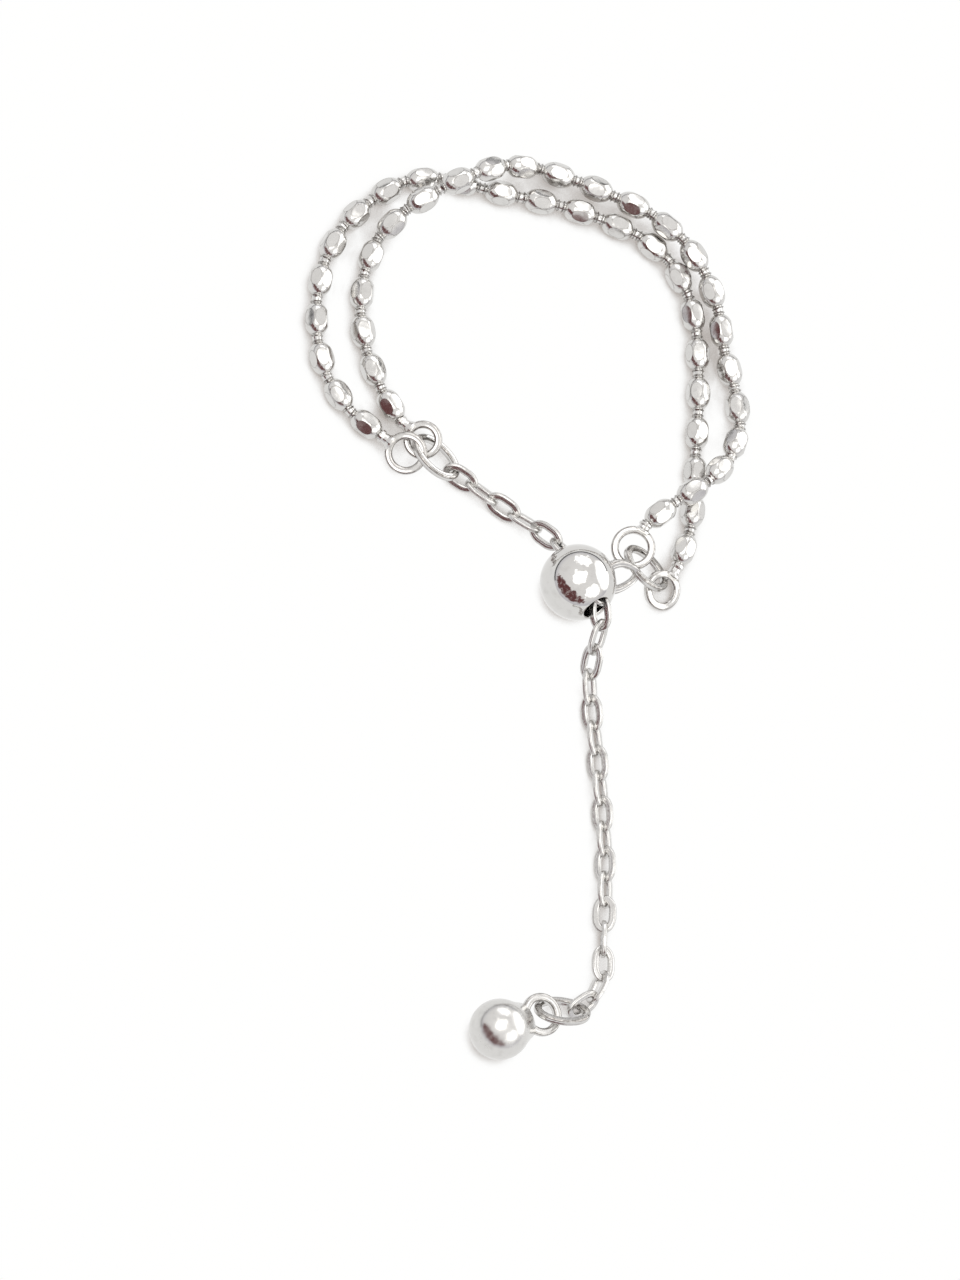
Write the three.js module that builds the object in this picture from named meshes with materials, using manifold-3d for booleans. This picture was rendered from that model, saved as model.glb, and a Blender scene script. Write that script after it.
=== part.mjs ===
// Adjustable chain ring in polished silver, lying flat. Two strands of cut oval beads run side by
// side round the finger. A fine cable chain leads from them through a ball that slides on it, and
// on as a loose tail to a small end ball. The sliding ball's eye holds the strands' other ends.
// Millimetres, +Z up, standing on z = 0. X runs across the finger and Y along the tail.

import * as THREE from "three";
import Module from "manifold-3d";
import { mergeVertices } from "three/addons/utils/BufferGeometryUtils.js";

const wasm = await Module();
wasm.setup();

const degree = Math.PI / 180;

// Beads: barrels with six flats cut along them, on short round necks
const bead = {
  count: 23,
  radius: 0.65,
  length: 1.86,
  fullness: 2.5, // exponent of the barrel's profile, where 2 would be an ellipse
  flats: 6,
  flatDepth: 0.89, // distance of a flat from the axis, as a share of the radius
  twist: 17 * degree, // turn of each bead about the strand from the one before
  neckRadius: 0.22,
  shoulder: 0.82, // place of the ring that rounds each end, as a share of the half length
  tipHalfAngle: 15 * degree, // half width of a flat where it runs out at the bead's ends
  leastHalfAngle: 9 * degree, // half width of a flat at its ends
};

// Wires: the cable chain's links, the oval jump rings and the eyes
const link = {
  count: 25,
  halfWidth: 0.465,
  wireRadius: 0.155,
  play: 0.12,
  roll: 45 * degree,
  twistFrom: 19, // the last links of the tail turn over, each by the twist more
  twist: -18 * degree,
};
const jumpRing = { halfLength: 1.32, halfWidth: 0.92, wireRadius: 0.16, steps: 20 };
const loopWireRadius = 0.16;
const stemShare = 0.7; // thickness of a loop's stem, as a share of the bead's neck
const wireSides = 6;
const eyeSteps = 16;

// Balls
const slidingBall = { x: 2.25, y: 0.82, radius: 2, boreRadius: 0.9, heading: -60, pitch: 18 };
const ballSides = { round: 32, overTop: 20, bore: 20, endBall: 24, endBallArc: 12 };
const endBall = { x: -1.86, y: -23.57, radius: 1.6, neckRadius: 0.85, neckReach: 1.5 };

// Each route's points are the middle of the piece at that place. On a strand, lift is how far it
// is raised off its rest on the surface, where one strand crosses over the other.
const strandA = {
  name: "strand_a",
  route: [
    { x: -6.9, y: 9.2, lift: 0 },
    { x: -8.5, y: 12.0, lift: 0 },
    { x: -9.1, y: 16.0, lift: 0 },
    { x: -7.9, y: 19.6, lift: 0.1 },
    { x: -6.3, y: 21.0, lift: 0.75 },
    { x: -4.2, y: 22.2, lift: 1.48 },
    { x: -2.2, y: 23.2, lift: 1.0 },
    { x: -0.2, y: 23.7, lift: 0.1 },
    { x: 3.8, y: 22.6, lift: 0.25 },
    { x: 7.75, y: 20.65, lift: 0.5 },
    { x: 9.85, y: 17.35, lift: 0.45 },
    { x: 10.4, y: 14.7, lift: 0.15 },
    { x: 11.35, y: 10.8, lift: 0.05 },
    { x: 10.9, y: 8.9, lift: 0.5 },
    { x: 9.8, y: 7.3, lift: 1.15 },
    { x: 8.4, y: 6.3, lift: 1.35 },
    { x: 6.0, y: 4.4, lift: 0.65 },
  ],
  startLoop: { x: -5.78, y: 8.3, z: 0.79, heading: -43, pitch: 7, roll: 24, radius: 0.82 },
  endLoop: { x: 5.46, y: 3.2, z: 1.08, heading: -116, pitch: -10, roll: 6, radius: 0.96 },
};

const strandB = {
  name: "strand_b",
  route: [
    { x: -7.9, y: 8.35, lift: 0 },
    { x: -10.4, y: 10.4, lift: 0 },
    { x: -11.5, y: 14.2, lift: 0 },
    { x: -10.6, y: 18.8, lift: 0 },
    { x: -7.6, y: 21.9, lift: 0 },
    { x: -5.5, y: 22.7, lift: 0 },
    { x: -1.3, y: 22.1, lift: 0 },
    { x: 3.2, y: 21.35, lift: 0 },
    { x: 7.1, y: 19.65, lift: 0 },
    { x: 8.8, y: 16.7, lift: 0 },
    { x: 9.1, y: 12.5, lift: 0 },
    { x: 8.95, y: 8.5, lift: 0 },
    { x: 8.8, y: 5.2, lift: 0 },
    { x: 7.95, y: 2.45, lift: 0 },
  ],
  startLoop: { x: -6.69, y: 7.52, z: 0.81, heading: -34, pitch: 7, roll: 25, radius: 0.92 },
  endLoop: { x: 7.16, y: 1.2, z: 0.52, heading: -123, pitch: -4, roll: -24, radius: 0.86 },
};

const chainRoute = [
  { x: -4.46, y: 6.27, z: 0.73 },
  { x: -3.25, y: 5.6, z: 0.62 },
  { x: -1.0, y: 4.2, z: 0.55 },
  { x: 0.4, y: 3.25, z: 0.95 },
  { x: 1.4, y: 2.3, z: 1.45 },
  { x: 2.25, y: 0.82, z: 2.0 },
  { x: 3.08, y: -0.6, z: 2.5 },
  { x: 3.32, y: -1.5, z: 2.55 },
  { x: 3.12, y: -3.0, z: 1.65 },
  { x: 3.0, y: -4.5, z: 0.8 },
  { x: 3.2, y: -5.9, z: 0.54 },
  { x: 3.7, y: -10.5, z: 0.53 },
  { x: 3.95, y: -14.5, z: 0.53 },
  { x: 3.85, y: -18.0, z: 0.62 },
  { x: 3.78, y: -19.8, z: 0.68 },
  { x: 3.62, y: -21.3, z: 0.74 },
  { x: 2.16, y: -22.56, z: 0.67 },
];

const jumpRings = [
  { name: "jump_ring_left", x: -5.21, y: 6.9, z: 0.85, heading: -40, pitch: -4, roll: -28 },
  { name: "jump_ring_right", x: 6.03, y: 1.68, z: 1.0, heading: -33, pitch: -18, roll: -33 },
  { name: "jump_ring_end", x: 1.51, y: -22.67, z: 1.02, heading: 1, pitch: -3, roll: -39 },
];

// The soldered eyes, each a closed wire whose inner end is buried in its ball
const slidingEye = {
  reach: 2.48,
  heading: 15,
  pitch: -8,
  roll: 45,
  halfLength: 0.95,
  halfWidth: 0.75,
  wireRadius: 0.16,
};
const endEye = {
  reach: 2.64,
  heading: 25,
  pitch: -10.5,
  roll: 9,
  halfLength: 0.95,
  halfWidth: 0.95,
  wireRadius: 0.2,
};

const polishedSilver = new THREE.MeshStandardMaterial({
  color: 0xd9d9d6,
  metalness: 1,
  roughness: 0.12,
});

// A rotation whose X axis points along a heading and a pitch, rolled about that axis. With no
// roll, its Y axis is level and its Z axis is as near upright as it can be.
function facing(heading, pitch, roll) {
  return new THREE.Quaternion().setFromEuler(
    new THREE.Euler(roll * degree, -pitch * degree, heading * degree, "ZYX"),
  );
}

function facingAlong(direction, roll) {
  const heading = Math.atan2(direction.y, direction.x) / degree;
  const pitch = Math.asin(direction.z / direction.length()) / degree;
  return facing(heading, pitch, roll / degree);
}

// Skins a list of rings of points, each with as many points as the next. A closed loft joins its
// last ring to its first, and an open one has flat ends.
function loft(rings, closed) {
  const sides = rings[0].length;
  const positions = rings.flat().flatMap((point) => point.toArray());
  const triangles = [];
  const spans = closed ? rings.length : rings.length - 1;
  for (let i = 0; i < spans; i++) {
    const here = i * sides;
    const next = ((i + 1) % rings.length) * sides;
    for (let j = 0; j < sides; j++) {
      const k = (j + 1) % sides;
      triangles.push(here + j, next + k, next + j, here + j, here + k, next + k);
    }
  }
  if (!closed) {
    const last = (rings.length - 1) * sides;
    for (let j = 1; j < sides - 1; j++) {
      triangles.push(0, j + 1, j, last, last + j, last + j + 1);
    }
  }
  const geometry = new THREE.BufferGeometry();
  geometry.setAttribute("position", new THREE.Float32BufferAttribute(positions, 3));
  geometry.setIndex(triangles);
  return geometry;
}

// A closed oval of wire in its own XY plane, with its long axis on X
function ovalWire({ halfLength, halfWidth, wireRadius }, steps) {
  const rings = [];
  for (let i = 0; i < steps; i++) {
    const turn = (2 * Math.PI * i) / steps;
    const centre = new THREE.Vector3(halfLength * Math.cos(turn), halfWidth * Math.sin(turn), 0);
    const outward = new THREE.Vector3(halfWidth * Math.cos(turn), halfLength * Math.sin(turn), 0);
    outward.normalize();
    rings.push(wireSection(centre, outward, wireRadius));
  }
  return loft(rings, true);
}

// A link with straight sides and round ends, which reaches half a wire past each of its joints
function linkWire(pitch) {
  const reach = (pitch + link.play) / 2 + link.wireRadius;
  const straight = reach - link.halfWidth;
  const endSteps = 5;
  const rings = [];
  for (const side of [1, -1]) {
    for (let i = 0; i < endSteps; i++) {
      const turn = (side === 1 ? -90 : 90) * degree + (Math.PI * i) / (endSteps - 1);
      const outward = new THREE.Vector3(Math.cos(turn), Math.sin(turn), 0);
      const centre = outward.clone().multiplyScalar(link.halfWidth);
      centre.x += side * straight;
      rings.push(wireSection(centre, outward, link.wireRadius));
    }
  }
  return loft(rings, true);
}

// The round of a wire that runs anticlockwise in the XY plane
function wireSection(centre, outward, radius) {
  const points = [];
  for (let j = 0; j < wireSides; j++) {
    const turn = (2 * Math.PI * j) / wireSides;
    const point = centre.clone().addScaledVector(outward, radius * Math.cos(turn));
    point.z -= radius * Math.sin(turn);
    points.push(point);
  }
  return points;
}

// How far a bead reaches below its axis when it is turned by a roll: to a flat or to an edge
function beadReach(roll) {
  const step = (2 * Math.PI) / bead.flats;
  const offFlat = Math.abs(roll - step * Math.round(roll / step));
  return bead.radius * Math.cos(offFlat - Math.acos(bead.flatDepth));
}

// The bead's rings along its own X axis. Two points bound each flat, and close in on its middle
// line towards the flat's ends, where the barrel is hardly thicker than the flat is deep.
function beadRings() {
  const neckShare = 1 - (bead.neckRadius / bead.radius) ** 2;
  const flatEndShare = bead.flatDepth / Math.cos(bead.leastHalfAngle);
  const flatEnd = ((1 - flatEndShare ** 2) / neckShare) ** (1 / bead.fullness);
  const places = [-1, -bead.shoulder, -flatEnd, 0, flatEnd, bead.shoulder, 1];
  return places.map((place) => {
    const share = Math.sqrt(1 - neckShare * Math.abs(place) ** bead.fullness);
    const onFlat = Math.abs(place) <= flatEnd;
    const halfAngle = onFlat ? Math.acos(bead.flatDepth / share) : bead.tipHalfAngle;
    const points = [];
    for (let i = 0; i < bead.flats; i++) {
      const middle = -Math.PI / 2 + (2 * Math.PI * i) / bead.flats;
      for (const turn of [middle - halfAngle, middle + halfAngle]) {
        const radius = bead.radius * share;
        points.push(
          new THREE.Vector3(
            (place * bead.length) / 2,
            radius * Math.cos(turn),
            radius * Math.sin(turn),
          ),
        );
      }
    }
    return points;
  });
}

function evenStations(points, count) {
  return new THREE.CatmullRomCurve3(points, false, "centripetal").getSpacedPoints(count);
}

function solid(geometry) {
  const bare = geometry.clone();
  for (const name of ["normal", "uv"]) bare.deleteAttribute(name);
  const merged = mergeVertices(bare, 1e-5);
  return new wasm.Manifold(
    new wasm.Mesh({
      numProp: 3,
      vertProperties: new Float32Array(merged.attributes.position.array),
      triVerts: new Uint32Array(merged.index.array),
    }),
  );
}

function geometryOf(manifold) {
  const mesh = manifold.getMesh();
  const geometry = new THREE.BufferGeometry();
  geometry.setAttribute("position", new THREE.BufferAttribute(mesh.vertProperties, 3));
  geometry.setIndex(new THREE.BufferAttribute(mesh.triVerts, 1));
  return geometry;
}

function namedMesh(name, geometry) {
  geometry.computeVertexNormals();
  const mesh = new THREE.Mesh(geometry, polishedSilver);
  mesh.name = name;
  return mesh;
}

// A round loop at a strand's end. Its heading and pitch point from the strand's last bead to the
// loop's far side.
function loopWire(place) {
  const size = { halfLength: place.radius, halfWidth: place.radius, wireRadius: loopWireRadius };
  const geometry = ovalWire(size, eyeSteps);
  geometry.applyQuaternion(facing(place.heading, place.pitch, place.roll));
  return geometry.translate(place.x, place.y, place.z);
}

// The stem's ring of points inside the loop's wire, looking the way that the strand runs there
function stemPoints(place, neck, strandStartsHere) {
  const { heading, pitch, roll } = place;
  const turned = facing(heading, pitch, roll);
  const root = new THREE.Vector3(-place.radius, 0, 0).applyQuaternion(turned);
  root.add(new THREE.Vector3(place.x, place.y, place.z));
  const along = strandStartsHere ? facing(heading + 180, -pitch, 0) : facing(heading, pitch, 0);
  return neck.map(({ y, z }) => {
    const point = new THREE.Vector3(0, y, z).multiplyScalar(stemShare);
    return point.applyQuaternion(along).add(root);
  });
}

function strand({ name, route, startLoop, endLoop }) {
  const points = route.map(({ x, y, lift }) => new THREE.Vector3(x, y, lift));
  const necks = evenStations(points, bead.count);
  const shape = beadRings();
  const rings = [];
  for (let i = 0; i < bead.count; i++) {
    const roll = i * bead.twist;
    const axis = necks[i + 1].clone().sub(necks[i]);
    const centre = necks[i].clone().add(necks[i + 1]).multiplyScalar(0.5);
    centre.z += beadReach(roll);
    const turned = facingAlong(axis, roll);
    for (const ring of shape) {
      rings.push(ring.map((point) => point.clone().applyQuaternion(turned).add(centre)));
    }
  }
  const start = stemPoints(startLoop, shape[0], true);
  const finish = stemPoints(endLoop, shape[0], false);
  const beads = solid(loft([start, ...rings, finish], false));
  const body = beads.add(solid(loopWire(startLoop))).add(solid(loopWire(endLoop)));
  return namedMesh(name, geometryOf(body));
}

function chain() {
  const group = new THREE.Group();
  const points = chainRoute.map(({ x, y, z }) => new THREE.Vector3(x, y, z));
  const joints = evenStations(points, link.count);
  for (let i = 0; i < link.count; i++) {
    const axis = joints[i + 1].clone().sub(joints[i]);
    const number = String(i + 1).padStart(2, "0");
    const mesh = namedMesh(`chain_link_${number}`, linkWire(axis.length()));
    mesh.position.copy(joints[i]).add(joints[i + 1]).multiplyScalar(0.5);
    const twist = link.twist * Math.max(0, i - link.twistFrom);
    mesh.quaternion.copy(facingAlong(axis, (i % 2 ? -link.roll : link.roll) + twist));
    group.add(mesh);
  }
  return group;
}

function jumpRingMeshes() {
  const group = new THREE.Group();
  for (const { name, x, y, z, heading, pitch, roll } of jumpRings) {
    const mesh = namedMesh(name, ovalWire(jumpRing, jumpRing.steps));
    mesh.position.set(x, y, z);
    mesh.quaternion.copy(facing(heading, pitch, roll));
    group.add(mesh);
  }
  return group;
}

// An eye's wire, placed about its ball's centre. Its roll turns it about the line from there.
function eyeWire(eye) {
  const geometry = ovalWire(eye, eyeSteps).translate(eye.reach, 0, 0);
  return geometry.applyQuaternion(facing(eye.heading, eye.pitch, eye.roll));
}

function slidingBallMesh() {
  const { x, y, radius, boreRadius, heading, pitch } = slidingBall;
  const ball = new THREE.SphereGeometry(radius, ballSides.round, ballSides.overTop);
  const bore = new THREE.CylinderGeometry(boreRadius, boreRadius, 3 * radius, ballSides.bore);
  bore.rotateZ(90 * degree);
  bore.applyQuaternion(facing(heading, pitch, 0));
  const body = solid(ball).add(solid(eyeWire(slidingEye))).subtract(solid(bore));
  const mesh = namedMesh("sliding_ball", geometryOf(body));
  mesh.position.set(x, y, radius);
  return mesh;
}

// The end ball is drawn out into a short neck that the eye is soldered on
function endBallMesh() {
  const { x, y, radius, neckRadius, neckReach } = endBall;
  const tangent = Math.acos((radius - neckRadius) / neckReach);
  const neckEnd = neckReach + neckRadius * Math.cos(tangent);
  const profile = [new THREE.Vector2(0, -radius)];
  for (let i = 1; i <= ballSides.endBallArc; i++) {
    const turn = Math.PI - ((Math.PI - tangent) * i) / ballSides.endBallArc;
    profile.push(new THREE.Vector2(radius * Math.sin(turn), radius * Math.cos(turn)));
  }
  profile.push(new THREE.Vector2(neckRadius * Math.sin(tangent), neckEnd));
  profile.push(new THREE.Vector2(0, neckEnd));
  const ball = new THREE.LatheGeometry(profile, ballSides.endBall);
  ball.rotateZ(-90 * degree);
  ball.applyQuaternion(facing(endEye.heading, endEye.pitch, 0));
  const mesh = namedMesh("end_ball", geometryOf(solid(ball).add(solid(eyeWire(endEye)))));
  mesh.position.set(x, y, radius);
  return mesh;
}

const ring = new THREE.Group();
ring.add(
  strand(strandA),
  strand(strandB),
  chain(),
  jumpRingMeshes(),
  slidingBallMesh(),
  endBallMesh(),
);

// The origin is below the middle of the whole ring, on the surface that it lies on
const bounds = new THREE.Box3().setFromObject(ring, true);
const middle = bounds.getCenter(new THREE.Vector3());
ring.position.set(-middle.x, -middle.y, -bounds.min.z);

export default ring;
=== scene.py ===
"""The looks of an adjustable chain ring: cut beads, cable chain, jump rings and two polished balls.

Laid out as an add-on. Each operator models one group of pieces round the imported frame. Shapes are
modelled in millimetres, and each finished piece is scaled to metres at the end.
"""

import math

import bpy
import numpy as np
from bpy.props import FloatProperty, FloatVectorProperty, IntProperty, PointerProperty
from mathutils import Matrix, Vector


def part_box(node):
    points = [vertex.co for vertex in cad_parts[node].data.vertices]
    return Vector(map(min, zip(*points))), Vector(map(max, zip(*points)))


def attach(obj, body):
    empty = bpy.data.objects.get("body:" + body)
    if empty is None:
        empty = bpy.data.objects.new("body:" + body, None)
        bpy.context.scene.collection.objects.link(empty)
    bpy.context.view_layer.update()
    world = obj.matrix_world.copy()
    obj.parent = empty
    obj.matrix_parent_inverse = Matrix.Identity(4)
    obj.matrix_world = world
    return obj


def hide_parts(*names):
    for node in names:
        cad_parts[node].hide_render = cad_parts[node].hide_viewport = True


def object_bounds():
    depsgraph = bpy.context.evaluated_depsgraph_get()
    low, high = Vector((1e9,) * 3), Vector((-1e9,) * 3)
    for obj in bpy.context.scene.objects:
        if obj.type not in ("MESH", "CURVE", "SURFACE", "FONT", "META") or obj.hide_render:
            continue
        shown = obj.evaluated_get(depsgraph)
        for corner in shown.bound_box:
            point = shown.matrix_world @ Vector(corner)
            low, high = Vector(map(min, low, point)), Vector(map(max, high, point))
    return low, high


bl_info = {
    "name": "Adjustable Chain Ring",
    "version": (1, 0, 0),
    "blender": (4, 5, 0),
    "location": "3D View > Sidebar > Chain Ring",
    "description": "Models and finishes a silver bead and cable chain ring with a sliding ball",
    "category": "Object",
}

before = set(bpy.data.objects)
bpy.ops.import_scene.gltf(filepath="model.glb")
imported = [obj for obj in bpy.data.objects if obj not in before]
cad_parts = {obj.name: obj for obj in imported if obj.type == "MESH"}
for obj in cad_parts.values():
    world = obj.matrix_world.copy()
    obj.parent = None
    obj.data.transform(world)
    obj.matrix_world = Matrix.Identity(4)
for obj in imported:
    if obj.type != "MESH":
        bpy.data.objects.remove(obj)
cad_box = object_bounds()

BODY = "root"
MILLIMETRE = 0.001

# Places below are in millimetres from the same point as the solids' own source. The middle of the
# left jump ring is known in both, and gives the step from one to the other.
JUMP_RING_LEFT = Vector((-5.21, 6.9, 0.85))


def node_middle(node):
    """The middle of a solid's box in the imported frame, in millimetres."""
    low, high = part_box(node)
    return (low + high) / 2 / MILLIMETRE


TO_FRAME = node_middle("jump_ring_left") - JUMP_RING_LEFT

# Routes of the two strands: x, y and how far the beads are lifted off their rest
STRAND_A_ROUTE = (
    (-6.9, 9.2, 0.0),
    (-8.5, 12.0, 0.0),
    (-9.1, 16.0, 0.0),
    (-7.9, 19.6, 0.1),
    (-6.3, 21.0, 0.75),
    (-4.2, 22.2, 1.48),
    (-2.2, 23.2, 1.0),
    (-0.2, 23.7, 0.1),
    (3.8, 22.6, 0.25),
    (7.75, 20.65, 0.5),
    (9.85, 17.35, 0.45),
    (10.4, 14.7, 0.15),
    (11.35, 10.8, 0.05),
    (10.9, 8.9, 0.5),
    (9.8, 7.3, 1.15),
    (8.4, 6.3, 1.35),
    (6.0, 4.4, 0.65),
)
STRAND_B_ROUTE = (
    (-7.9, 8.35, 0.0),
    (-10.4, 10.4, 0.0),
    (-11.5, 14.2, 0.0),
    (-10.6, 18.8, 0.0),
    (-7.6, 21.9, 0.0),
    (-5.5, 22.7, 0.0),
    (-1.3, 22.1, 0.0),
    (3.2, 21.35, 0.0),
    (7.1, 19.65, 0.0),
    (8.8, 16.7, 0.0),
    (9.1, 12.5, 0.0),
    (8.95, 8.5, 0.0),
    (8.8, 5.2, 0.0),
    (7.95, 2.45, 0.0),
)

# End loops: middle, heading, pitch and roll in degrees, radius
STRANDS = (
    {
        "name": "cut_bead_strand_a",
        "node": "strand_a",
        "route": STRAND_A_ROUTE,
        "start_loop": (Vector((-5.78, 8.3, 0.79)), (-43, 7, 24), 0.82),
        "end_loop": (Vector((5.46, 3.2, 1.08)), (-116, -10, 6), 0.96),
    },
    {
        "name": "cut_bead_strand_b",
        "node": "strand_b",
        "route": STRAND_B_ROUTE,
        "start_loop": (Vector((-6.69, 7.52, 0.81)), (-34, 7, 25), 0.92),
        "end_loop": (Vector((7.16, 1.2, 0.52)), (-123, -4, -24), 0.86),
    },
)
SLIDING_BALL = Vector((2.25, 0.82, 2.0))
SLIDING_BALL_BORE = (-60, 18, 0)
SLIDING_BALL_EYE = {
    "reach": 2.48,
    "turn": (15, -8, 45),
    "half_length": 0.95,
    "half_width": 0.75,
    "taper": 0.28,
}
END_BALL = Vector((-1.86, -23.57, 1.6))
END_BALL_EYE = {
    "reach": 2.64,
    "turn": (25, -10.5, 9),
    "half_length": 0.93,
    "half_width": 0.93,
    "taper": 0.0,
}


# ---------------------------------------------------------------------------------------------
# Sizes and colours that a user would change
# ---------------------------------------------------------------------------------------------


class BeadSettings(bpy.types.PropertyGroup):
    """Sizes of the cut beads and of the necks between them"""

    count: IntProperty(name="Beads", description="Beads on each strand", default=23, min=3)
    radius: FloatProperty(name="Radius", description="Half of a bead's thickness, mm", default=0.65)
    length: FloatProperty(name="Length", description="Length of a bead, mm", default=1.86)
    fullness: FloatProperty(name="Fullness", description="Exponent of the profile", default=2.3)
    flat_depth: FloatProperty(
        name="Flat depth", description="How far a flat is from the axis, share of radius", default=0.89
    )
    twist: FloatProperty(name="Twist", description="Turn from bead to bead, degrees", default=17)
    neck_radius: FloatProperty(name="Neck", description="Radius of the necks, mm", default=0.26)
    collar_radius: FloatProperty(name="Collar", description="Radius of the collars, mm", default=0.33)


class WireSettings(bpy.types.PropertyGroup):
    """Sizes of the wire in links, jump rings, loops and eyes"""

    radius: FloatProperty(name="Wire", description="Radius of rings and loops, mm", default=0.22)
    squareness: FloatProperty(
        name="Squareness", description="How square a ring's or loop's section is, 0 to 1", default=0.12
    )
    link_squareness: FloatProperty(
        name="Link squareness", description="How square a link's section is, 0 to 1", default=0.0
    )
    link_radius: FloatProperty(name="Link wire", description="Radius of a link's wire, mm", default=0.155)
    link_half_width: FloatProperty(
        name="Link width", description="Half width of a link at its wire's middle, mm", default=0.5
    )
    eye_radius: FloatProperty(name="End eye", description="Wire radius of the end eye, mm", default=0.23)


class BallSettings(bpy.types.PropertyGroup):
    """Sizes of both balls"""

    radius: FloatProperty(name="Sliding ball", description="Its radius, mm", default=2.0)
    bore_radius: FloatProperty(name="Bore", description="Radius of its bore, mm", default=0.74)
    rim: FloatProperty(name="Rim", description="Radius of the bore's rounded rim, mm", default=0.12)
    end_radius: FloatProperty(name="End ball", description="Radius of the end ball, mm", default=1.6)


class FinishSettings(bpy.types.PropertyGroup):
    """Colours of the silver, and of the faint stains, painted shade and painted dark lines on it"""

    silver: FloatVectorProperty(
        name="Silver", description="Colour of clean silver", subtype="COLOR", default=(0.67, 0.66, 0.645)
    )
    # Used for faint random stains, for shade painted into crevices and bores, and for dark lines painted
    # along rims that stand for dark reflections
    stain_and_painted_shade: FloatVectorProperty(
        name="Tarnish", description="Colour in the crevices", subtype="COLOR", default=(0.17, 0.15, 0.135)
    )


class StageSettings(bpy.types.PropertyGroup):
    """The camera, the room's light and the shade painted on the floor"""

    lens: FloatProperty(name="Lens", description="Focal length", default=1200, unit="CAMERA")
    azimuth: FloatProperty(name="Azimuth", description="Camera's side, degrees from +X", default=230)
    elevation: FloatProperty(name="Elevation", description="Camera above the floor", default=68)
    room: FloatProperty(name="Room", description="Radiance of the room's walls", default=0.95)
    contact_reach: FloatProperty(
        name="Contact shade", description="How far the shade round a piece reaches, mm", default=1.0
    )


SETTINGS = {
    "ring_beads": BeadSettings,
    "ring_wires": WireSettings,
    "ring_balls": BallSettings,
    "ring_finish": FinishSettings,
    "ring_stage": StageSettings,
}


# ---------------------------------------------------------------------------------------------
# Placing and routing
# ---------------------------------------------------------------------------------------------


def facing(heading, pitch, roll):
    """A rotation whose X axis points along a heading and pitch, rolled about itself."""
    turn = Matrix.Rotation(math.radians(heading), 3, "Z")
    lift = Matrix.Rotation(math.radians(-pitch), 3, "Y")
    return turn @ lift @ Matrix.Rotation(math.radians(roll), 3, "X")


def facing_along(direction, roll):
    heading = math.degrees(math.atan2(direction.y, direction.x))
    pitch = math.degrees(math.asin(direction.normalized().z))
    return facing(heading, pitch, roll)


def placed(rotation, position):
    return Matrix.Translation(position) @ rotation.to_4x4()


def centripetal_point(points, t):
    """A point on the centripetal Catmull-Rom curve through the points, t from 0 to 1."""
    last = len(points) - 1
    whole = min(int(t * last), last - 1)
    share = t * last - whole
    p1 = points[whole]
    p2 = points[whole + 1]
    p0 = points[whole - 1] if whole > 0 else p1 * 2 - p2
    p3 = points[whole + 2] if whole + 2 <= last else p2 * 2 - p1
    knots = [math.sqrt((b - a).length) for a, b in ((p0, p1), (p1, p2), (p2, p3))]
    start = (p1 - p0) / knots[0] - (p2 - p0) / (knots[0] + knots[1]) + (p2 - p1) / knots[1]
    finish = (p2 - p1) / knots[1] - (p3 - p1) / (knots[1] + knots[2]) + (p3 - p2) / knots[2]
    start *= knots[1]
    finish *= knots[1]
    squared = share * share
    cubed = squared * share
    return (
        p1 * (2 * cubed - 3 * squared + 1)
        + p2 * (3 * squared - 2 * cubed)
        + start * (cubed - 2 * squared + share)
        + finish * (cubed - squared)
    )


def even_stations(points, count):
    """Points that part the curve into a count of equal lengths, both ends included."""
    samples = 3000
    fine = [centripetal_point(points, i / samples) for i in range(samples + 1)]
    reach = np.concatenate(([0.0], np.cumsum([(b - a).length for a, b in zip(fine, fine[1:])])))
    wanted = np.linspace(0.0, reach[-1], count + 1)
    axes = [np.interp(wanted, reach, [point[k] for point in fine]) for k in range(3)]
    return [Vector(values) for values in zip(*axes)]


def wire_pose(node):
    """A link's or jump ring's place and turn, long along X and thin along Z, and half its length. Both
    are read from its solid."""
    points = np.array([v.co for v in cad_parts[node].data.vertices], float) / MILLIMETRE
    middle = np.array(node_middle(node))
    _, axes = np.linalg.eigh(np.cov((points - points.mean(0)).T))
    long_axis = Vector(axes[:, 2])
    wide_axis = Vector(axes[:, 1])
    rotation = Matrix((long_axis, wide_axis, long_axis.cross(wide_axis))).transposed()
    spans = (points - middle) @ axes
    half_length = (spans[:, 2].max() - spans[:, 2].min()) / 2
    return placed(rotation, Vector(middle)), half_length


# ---------------------------------------------------------------------------------------------
# Modelling tools
# ---------------------------------------------------------------------------------------------


# A ball or torus whose points are moved to make a shape: its radius, and a torus's thickness
START_RADIUS = 1.0
START_WIRE = 0.25
# Steps along a loop or ring, along a link, and round the section of either one's wire
LOOP_STEPS = 64
LINK_STEPS = 48
WIRE_SIDES = 32
# A drawn wire's shallow grooves: depth as a share of the wire's half size, and how far each one spreads
GROOVE_DEPTH = 0.17
GROOVE_SPREAD = 0.3
# How far the dark lines painted along a wire's four corners spread; they stand for dark reflections
RIM_SPREAD = 0.3
# A point of an oval this near the middle of its length, as a share of it, belongs to neither end
OVAL_MIDDLE = 1e-4


def deselect_all():
    if bpy.context.object and bpy.context.object.mode != "OBJECT":
        bpy.ops.object.mode_set(mode="OBJECT")
    bpy.ops.object.select_all(action="DESELECT")


def select_only(piece):
    deselect_all()
    piece.select_set(True)
    bpy.context.view_layer.objects.active = piece


def clamped(value):
    return max(0.0, min(1.0, value))


def marked(mesh, name, values):
    """Stores a value from 0 to 1 for each point of a mesh, which its finish reads by name."""
    mesh.attributes.new(name, "FLOAT", "POINT").data.foreach_set("value", values)


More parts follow.
